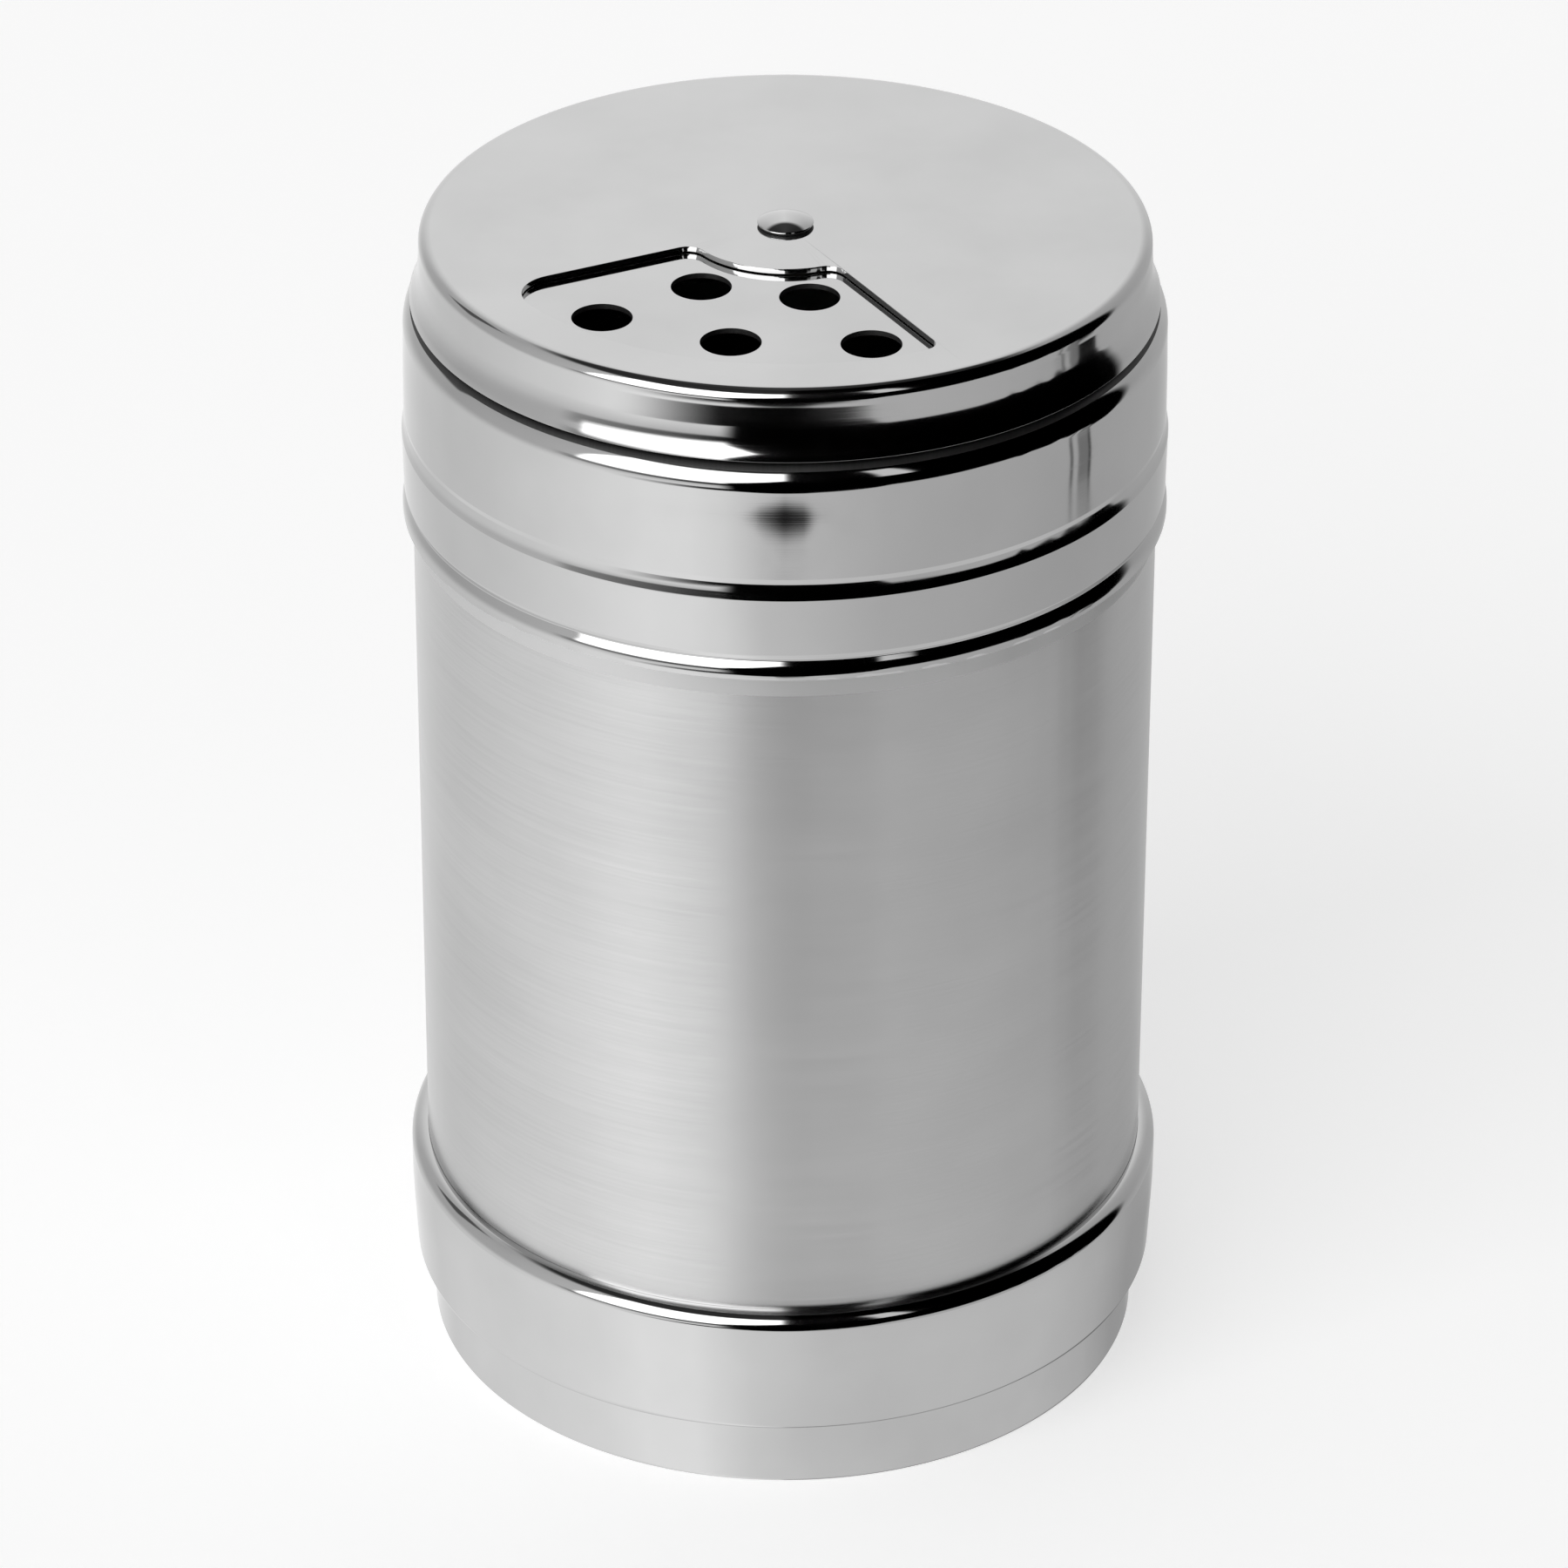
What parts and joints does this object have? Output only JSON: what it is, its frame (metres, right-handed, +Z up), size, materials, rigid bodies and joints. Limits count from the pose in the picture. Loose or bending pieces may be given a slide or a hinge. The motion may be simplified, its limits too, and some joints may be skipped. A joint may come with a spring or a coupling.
{
  "type": "spice shaker",
  "caption": "Round steel spice shaker: brushed can in a polished base cup, screw-on lid with a perforated plate, and a rotating cap whose fan-shaped window uncovers the holes.",
  "frame": {"origin": "centre of the base, on the surface that the shaker stands on", "axes": "+Z up along the can's axis, -Y towards the side that the picture shows"},
  "size_m": [0.0578, 0.0578, 0.0932],
  "materials": {
    "polished_steel": "polished stainless steel",
    "brushed_body_steel": "stainless steel brushed round the can",
    "plain_steel": "mill-finish stainless steel",
    "rivet_steel": "polished rivet",
    "spring_steel": "hardened spring steel",
    "white_polypropylene": "moulded polypropylene",
    "silicone_seal": "translucent silicone",
    "nylon_washer": "natural nylon"
  },
  "bodies": {
    "can": {"body_sleeve": "brushed_body_steel", "inner_floor": "plain_steel", "base_cup": "polished_steel"},
    "seal": {"seal_ring": "silicone_seal"},
    "lid": {"lid_shell": "polished_steel", "thread_liner": "white_polypropylene", "wear_washer": "nylon_washer", "pivot_rivet": "rivet_steel", "spring_washer": "spring_steel", "backing_washer": "plain_steel"},
    "cap": {"rotating_cap": "polished_steel"}
  },
  "joints": [
    {"name": "lid_climb", "type": "slide", "parent": "can", "child": "seal", "axis": [0, 0, 1], "range_m": [0, 0.0216]},
    {"name": "lid_turn", "type": "hinge", "parent": "seal", "child": "lid", "pos_m": [0, 0, 0.0866], "axis": [0, 0, 1], "range_deg": [0, 2160]},
    {"name": "cap_turn", "type": "hinge", "parent": "lid", "child": "cap", "pos_m": [0, 0, 0.0922], "axis": [0, 0, 1], "continuous": true}
  ],
  "couplings": [
    {"joint": "lid_climb", "follows": "lid_turn", "m_per_rad": 0.00057295}
  ]
}
